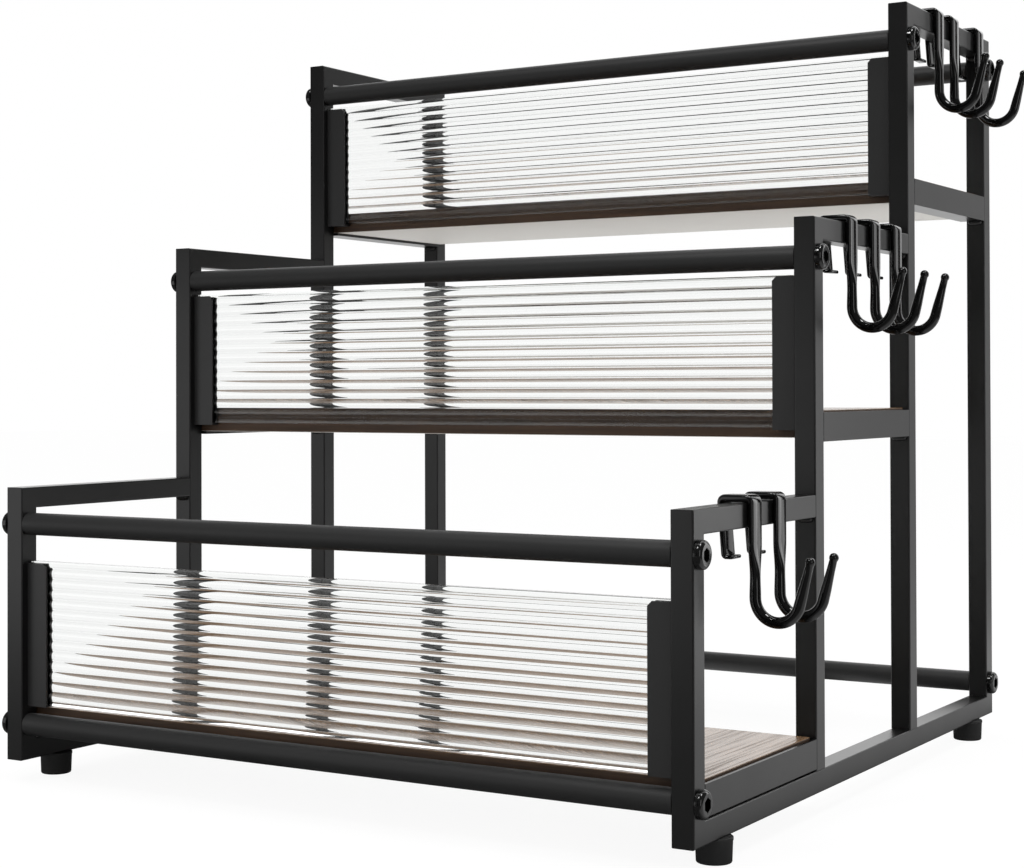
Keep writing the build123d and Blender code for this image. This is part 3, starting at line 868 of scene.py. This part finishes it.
def hook_stations(hook, rail_low, rail_high):
    """Sweep of a hook: lip, back leg, top, front leg, neck, bend, tip and ball."""
    foot_radius, top_radius = 1.3 * MM, 1.9 * MM
    nib, lip_flat = 0.25 * MM, 0.05 * MM
    foot_steps, top_steps, bend_steps, ball_steps = 6, 8, 28, 12
    neck_steps, wire_steps, tip_steps = 12, 4, 4
    ball_end = radians(80)
    half_width = hook.width / 2
    lip_half = hook.lip_thickness / 2
    lip = (lip_half, half_width, lip_half - lip_flat)
    leg = (hook.thickness / 2, half_width, hook.edge_round)
    top = (hook.top / 2, half_width, hook.edge_round)
    neck, wire, tip = ((diameter / 2,) * 3 for diameter in (hook.neck, hook.wire, hook.tip))
    front_x = rail_high.x + hook.clearance + hook.thickness / 2
    top_z = rail_high.z + hook.clearance + hook.top / 2
    back_top_x = rail_low.x - hook.back_gap - hook.thickness / 2
    back_foot_x = rail_low.x + hook.back_lap - hook.thickness / 2
    lip_end_x = rail_low.x + hook.back_lap + hook.lip_length
    lip_z = rail_high.z - hook.back_drop + lip_half
    up = atan2(top_z - lip_z, back_top_x - back_foot_x)
    foot_cut = foot_radius * tan((pi - up) / 2)
    top_cut = top_radius * tan(up / 2)
    leg_reach = sqrt((top_z - lip_z) ** 2 + (back_top_x - back_foot_x) ** 2)

    stations = [((lip_end_x, lip_z), pi, tuple(reach - nib for reach in lip))]
    go_straight(stations, nib, lip)
    go_straight(stations, lip_end_x - back_foot_x - foot_cut - nib, lip)
    go_round(stations, up - pi, foot_radius, leg, foot_steps)
    go_straight(stations, leg_reach - foot_cut - top_cut, leg)
    go_round(stations, -up, top_radius, top, top_steps)
    go_straight(stations, front_x - back_top_x - top_cut - top_radius, top)
    go_round(stations, -pi / 2, top_radius, leg, top_steps)
    go_straight(stations, top_z - top_radius - rail_high.z + hook.strap_drop, leg)
    go_straight(stations, hook.neck_drop - hook.strap_drop, neck, neck_steps)
    go_straight(stations, hook.bend_drop - hook.neck_drop, wire, wire_steps)
    go_round(stations, pi - hook.slant, hook.bend_radius, wire, bend_steps)
    ball_radius = hook.ball / 2
    ball_start = -acos(hook.tip / hook.ball)
    reached = hook.tip_length + ball_radius * sin(ball_start)
    go_straight(stations, reached, tip, tip_steps)
    for step in range(1, ball_steps + 1):
        angle = ball_start + (ball_end - ball_start) * step / ball_steps
        along = hook.tip_length + ball_radius * sin(angle)
        go_straight(stations, along - reached, (ball_radius * cos(angle),) * 3)
        reached = along
    return stations


def swept(bm, stations, middle_y):
    """Skins the stations of a sweep and closes its ends."""
    before = None
    for (x, z), heading, section in stations:
        place = Matrix((
            (0.0, -sin(heading), cos(heading), x),
            (1.0, 0.0, 0.0, middle_y),
            (0.0, cos(heading), sin(heading), z),
            (0.0, 0.0, 0.0, 1.0),
        ))
        ring = section_ring(bm, place, section)
        if before:
            bmesh.ops.bridge_loops(bm, edges=before + ring)
        before = ring
    bmesh.ops.holes_fill(bm, edges=bm.edges, sides=0)


def flute_surface(panel):
    """Half a flute as (distance from its middle, height over its crest) points, below zero.

    A round crest runs out to the middle of the small hollow that the die leaves between two flutes.
    """
    crest_steps, hollow_steps = 14, 6
    steepest = asin(panel.pitch / 2 / (panel.crest + panel.hollow))
    turn = degrees(steepest)
    crest = arc_points((0.0, -panel.crest), panel.crest, 90, 90 - turn, crest_steps)
    middle = (panel.pitch / 2, panel.hollow - (panel.crest + panel.hollow) * (1 - cos(steepest)))
    return crest + arc_points(middle, panel.hollow, -90 - turn, -90, hollow_steps)


def height_at(surface, distance):
    """Height of a flute over its crest, zero or below, at a distance from its middle."""
    for (near, near_height), (far, far_height) in zip(surface, surface[1:]):
        if near <= distance <= far and far > near:
            return near_height + (far_height - near_height) * (distance - near) / (far - near)
    return surface[-1][1]


def fluted_outline(low, high, panel, cut_share):
    """Section of a panel as (y, z) points: a flat back and round flutes cut off at foot and top."""
    least_step = 0.02 * MM
    half = flute_surface(panel)
    whole = [(-distance, height) for distance, height in reversed(half[1:])] + half
    first = low.z + (cut_share - 0.5) * panel.pitch
    centre_z = first
    points = []
    while centre_z - panel.pitch / 2 < high.z:
        points += [(low.y - height, centre_z + distance) for distance, height in whole[:-1]]
        centre_z += panel.pitch
    points = [(y, z) for y, z in points if low.z + least_step < z < high.z - least_step]
    ends = []
    for level in (low.z, high.z):
        offset = abs((level - first + panel.pitch / 2) % panel.pitch - panel.pitch / 2)
        ends.append((low.y - height_at(half, offset), level))
    return [ends[0]] + points + [ends[1], (high.y, high.z), (high.y, low.z)]


def on_circle(edge, seat, radius, height):
    """Whether an open edge lies on a circle at a height over a seat."""
    reach, near = sqrt(radius**2 + height**2), 0.01 * MM
    return edge.is_boundary and all(abs((vert.co - seat).length - reach) < near for vert in edge.verts)


def add_bolt(bm, bolt, seat, sign):
    """Adds a socket bolt, its head on a seat and facing plus or minus X, and its shank."""
    head, face = bolt.head / 2, bolt.face / 2
    shoulder, shoulder_steps = head - face, 10
    flat, edge_round, seat_radius = face - 0.3 * MM, 0.2 * MM, 0.55 * head
    mouth, mouth_depth = bolt.socket + 0.3 * MM, 0.15 * MM
    shank, shank_length = 3.0 * MM, 19.0 * MM
    axis, across, steps = (sign, 0, 0), (0, 0, 1), 48

    single = bmesh.new()
    profile = [
        (seat_radius, 0.0),
        (head - edge_round, 0.0),
        (head, edge_round),
        *arc_points((face, bolt.height - shoulder), shoulder, 0, 90, shoulder_steps),
        (flat, bolt.height),
    ]
    turned(single, profile, seat, axis, across, steps)
    ring = [edge for edge in single.edges if on_circle(edge, seat, flat, bolt.height)]
    turn = Matrix.Rotation(sign * pi / 2, 4, "Y")
    for width, level in ((mouth, bolt.height), (bolt.socket, bolt.height - mouth_depth)):
        place = Matrix.Translation(seat + Vector((sign * level, 0, 0)))
        inner = hexagon_ring(single, width, place @ turn, steps)
        bmesh.ops.bridge_loops(single, edges=ring + inner)
        ring = inner
    walls = bmesh.ops.extrude_edge_only(single, edges=ring)["geom"]
    deep = [part for part in walls if isinstance(part, bmesh.types.BMVert)]
    bmesh.ops.translate(single, verts=deep, vec=(-sign * bolt.depth, 0, 0))
    floor_edges = [
        part for part in walls
        if isinstance(part, bmesh.types.BMEdge) and all(vert in deep for vert in part.verts)
    ]
    bmesh.ops.contextual_create(single, geom=floor_edges)
    profile = [(seat_radius, 0.0), (shank, 0.0), (shank, -shank_length), (0.0, -shank_length)]
    turned(single, profile, seat, axis, across, steps)
    bmesh.ops.recalc_face_normals(single, faces=single.faces)
    mesh = mesh_of(single, "bolt")
    bm.from_mesh(mesh)
    bpy.data.meshes.remove(mesh)


def foot_outline(flange, height):
    """Section of a rubber foot as (radius, height) points: a flange on a body with a recess."""
    flange_corner, flange_foot, body_top = 0.25 * MM, height - 1.3 * MM, height - 1.6 * MM
    body, bottom, bottom_round, round_steps = 7.6 * MM, 7.3 * MM, 0.8 * MM, 5
    mouth, mouth_depth = 4.5 * MM, 0.2 * MM
    recess, recess_depth, screw_hole = 4.3 * MM, 5.0 * MM, 2.05 * MM
    return [
        (screw_hole, height),
        (flange - flange_corner, height),
        (flange, height - flange_corner),
        (flange, flange_foot),
        (body, body_top),
        *arc_points((bottom - bottom_round, bottom_round), bottom_round, 0, -90, round_steps),
        (mouth, 0.0),
        (recess, mouth_depth),
        (recess, recess_depth),
        (screw_hole, recess_depth),
        (screw_hole, height),
    ]


# Pieces

class ORGANIZER_OT_frame(bpy.types.Operator):
    """Coats the welded side frames and the panel clips"""

    bl_idname = "organizer.frame"
    bl_label = "Coat the frames and clips"

    def execute(self, context):
        coat = context.scene.organizer_coat
        frame_coat = powder_coat("satin_black_powder_coat", coat.colour, coat.roughness, coat.peel)
        clip_coat = powder_coat("clip_black_powder_coat", "#1a1a1a", coat.roughness + 0.12, coat.peel)
        for side in SIDES:
            names = [f"{side}_bottom_rail"]
            names += [f"{side}_{post}_post" for post in ("front", "second", "third", "rear")]
            names += [f"{side}_{tier}_{part}" for tier in TIERS for part in ("top_rail", "shelf_angle")]
            for name in names:
                dress(name, frame_coat)
            for tier in TIERS:
                dress(f"{side}_{tier}_panel_clip", clip_coat)
        return {"FINISHED"}


class ORGANIZER_OT_welds(bpy.types.Operator):
    """Lays the weld beads under the rails and angles"""

    bl_idname = "organizer.welds"
    bl_label = "Lay the weld beads"

    def execute(self, context):
        coat = context.scene.organizer_coat
        bead_coat = powder_coat("weld_black_powder_coat", coat.colour, coat.roughness, coat.peel)
        for side in SIDES:
            bm = bmesh.new()
            for tier, post in NEXT_POSTS.items():
                post_low, _, post_middle = size(f"{side}_{post}_post")
                for part in ("top_rail", "shelf_angle"):
                    if (tier, part) == ("lower", "shelf_angle"):
                        continue
                    part_low, _, _ = size(f"{side}_{tier}_{part}")
                    weld_bead(bm, Vector((post_middle.x, post_low.y, part_low.z)))
            finish_piece(bm, f"{side}_weld_beads", bead_coat, "rack", sharp_angle=60.0)
        return {"FINISHED"}


class ORGANIZER_OT_bars(bpy.types.Operator):
    """Makes the round bars between the side frames"""

    bl_idname = "organizer.bars"
    bl_label = "Make the round bars"

    def execute(self, context):
        coat = context.scene.organizer_coat
        bar_coat = powder_coat("bar_black_powder_coat", "#151515", coat.roughness + 0.25, coat.peel)
        wall = 1.2 * MM
        bevel = 0.3 * MM
        for name in BAR_POSTS:
            low, high, middle = size(name)
            radius = (high.z - low.z) / 2
            length = high.x - low.x
            profile = [
                (radius - wall, 0.0),
                (radius - bevel, 0.0),
                (radius, bevel),
                (radius, length - bevel),
                (radius - bevel, length),
                (radius - wall, length),
                (radius - wall, 0.0),
            ]
            bm = bmesh.new()
            turned(bm, profile, (low.x, middle.y, middle.z), (1, 0, 0), (0, 0, 1), steps=64)
            finish_piece(bm, f"{name}_coated", bar_coat, "rack", (name,))
        dress("bar_inserts", zinc_steel("insert_zinc_steel"))
        return {"FINISHED"}


class ORGANIZER_OT_shelves(bpy.types.Operator):
    """Lays the laminate on the shelves"""

    bl_idname = "organizer.shelves"
    bl_label = "Finish the shelves"

    def execute(self, context):
        laminate = grain_laminate("dark_grain_laminate", context.scene.organizer_board)
        for tier in TIERS:
            dress(f"{tier}_shelf", laminate)
        return {"FINISHED"}


class ORGANIZER_OT_panels(bpy.types.Operator):
    """Makes the clear fluted panels"""

    bl_idname = "organizer.panels"
    bl_label = "Make the fluted panels"

    def execute(self, context):
        panel = context.scene.organizer_panel
        acrylic = clear_acrylic("extruded_clear_acrylic")
        for tier, cut_share in zip(TIERS, panel.cut_shares):
            low, high, _ = size(f"{tier}_panel")
            outline = fluted_outline(low, high, panel, cut_share)
            bm = bmesh.new()
            ring = [bm.verts.new((low.x, y, z)) for y, z in outline]
            cap = bm.faces.new(ring)
            pulled = bmesh.ops.extrude_face_region(bm, geom=[cap])
            moved = [part for part in pulled["geom"] if isinstance(part, bmesh.types.BMVert)]
            bmesh.ops.translate(bm, verts=moved, vec=(high.x - low.x, 0, 0))
            finish_piece(
                bm, f"{tier}_fluted_panel", acrylic, "rack", (f"{tier}_panel",)
            )
        return {"FINISHED"}


class ORGANIZER_OT_bolts(bpy.types.Operator):
    """Makes the socket bolts through the posts"""

    bl_idname = "organizer.bolts"
    bl_label = "Make the socket bolts"

    def execute(self, context):
        bolt = context.scene.organizer_bolt
        plating = black_zinc("black_zinc_bolts")
        for side, sign in SIDES.items():
            bm = bmesh.new()
            for bar, post in BAR_POSTS.items():
                post_low, post_high, _ = size(f"{side}_{post}_post")
                _, _, bar_middle = size(bar)
                outer_x = post_high.x if sign > 0 else post_low.x
                add_bolt(bm, bolt, Vector((outer_x, bar_middle.y, bar_middle.z)), sign)
            finish_piece(
                bm, f"{side}_socket_bolts", plating, "rack", (f"{side}_bolts",),
                sharp_angle=40.0,
            )
        return {"FINISHED"}


class ORGANIZER_OT_feet(bpy.types.Operator):
    """Makes the rubber feet and their screws"""

    bl_idname = "organizer.feet"
    bl_label = "Make the rubber feet"

    def execute(self, context):
        rubber = moulded_rubber("moulded_black_rubber")
        for side in SIDES:
            for end in ("front", "rear"):
                name = f"{side}_{end}_foot"
                low, high, middle = size(name)
                profile = foot_outline((high.x - low.x) / 2, high.z - low.z)
                bm = bmesh.new()
                turned(bm, profile, (middle.x, middle.y, 0), (0, 0, 1), (1, 0, 0), steps=64)
                finish_piece(bm, f"{name}_rubber", rubber, "rack", (name,))
        dress("foot_screws", zinc_steel("screw_zinc_steel"))
        return {"FINISHED"}


class ORGANIZER_OT_hooks(bpy.types.Operator):
    """Makes the cup hooks"""

    bl_idname = "organizer.hooks"
    bl_label = "Make the cup hooks"

    def execute(self, context):
        enamel = gloss_enamel("gloss_black_enamel")
        for tier, count in HOOK_COUNTS.items():
            rail_low, rail_high, _ = size(f"right_{tier}_top_rail")
            stations = hook_stations(context.scene.organizer_hook, rail_low, rail_high)
            for number in range(1, count + 1):
                name = f"{tier}_hook_{number}"
                _, _, middle = size(name)
                bm = bmesh.new()
                swept(bm, stations, middle.y)
                finish_piece(
                    bm, f"{name}_enamelled", enamel, name, (name,), sharp_angle=50.0
                )
        return {"FINISHED"}


class ORGANIZER_OT_stage(bpy.types.Operator):
    """Sets up the floor, light and camera"""

    bl_idname = "organizer.stage"
    bl_label = "Set up the stage"

    def execute(self, context):
        scene, stage = context.scene, context.scene.organizer_stage
        floor_half_side = 6.0
        scene.view_settings.view_transform = "Standard"
        bm = bmesh.new()
        bmesh.ops.create_grid(bm, x_segments=8, y_segments=8, size=floor_half_side)
        floor = add_object("studio_floor", mesh_of(bm, "studio_floor"))
        floor.data.materials.append(floor_paper(stage))
        scene.world = studio_world(stage)
        for lamp in LAMPS:
            add_lamp(*lamp)
        add_camera(stage)
        return {"FINISHED"}


class ORGANIZER_PT_panel(bpy.types.Panel):
    """Lists the steps that finish the rack"""

    bl_idname = "ORGANIZER_PT_panel"
    bl_label = "Coffee station organizer"
    bl_space_type = "VIEW_3D"
    bl_region_type = "UI"
    bl_category = "Organizer"

    def draw(self, context):
        for step in STEPS:
            self.layout.operator(step.bl_idname)
        for name, group in GROUPS:
            box = self.layout.box()
            settings = getattr(context.scene, name)
            for field in group.__annotations__:
                box.prop(settings, field)


STEPS = (
    ORGANIZER_OT_frame,
    ORGANIZER_OT_welds,
    ORGANIZER_OT_bars,
    ORGANIZER_OT_shelves,
    ORGANIZER_OT_panels,
    ORGANIZER_OT_bolts,
    ORGANIZER_OT_feet,
    ORGANIZER_OT_hooks,
    ORGANIZER_OT_stage,
)


def register():
    for name, group in GROUPS:
        bpy.utils.register_class(group)
        setattr(bpy.types.Scene, name, bpy.props.PointerProperty(type=group))
    for step in STEPS:
        bpy.utils.register_class(step)
    bpy.utils.register_class(ORGANIZER_PT_panel)


def unregister():
    bpy.utils.unregister_class(ORGANIZER_PT_panel)
    for step in reversed(STEPS):
        bpy.utils.unregister_class(step)
    for name, group in reversed(GROUPS):
        delattr(bpy.types.Scene, name)
        bpy.utils.unregister_class(group)


def main():
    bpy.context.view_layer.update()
    register()
    bpy.ops.organizer.frame()
    bpy.ops.organizer.welds()
    bpy.ops.organizer.bars()
    bpy.ops.organizer.shelves()
    bpy.ops.organizer.panels()
    bpy.ops.organizer.bolts()
    bpy.ops.organizer.feet()
    bpy.ops.organizer.hooks()
    bpy.ops.organizer.stage()


if __name__ == "__main__":
    main()
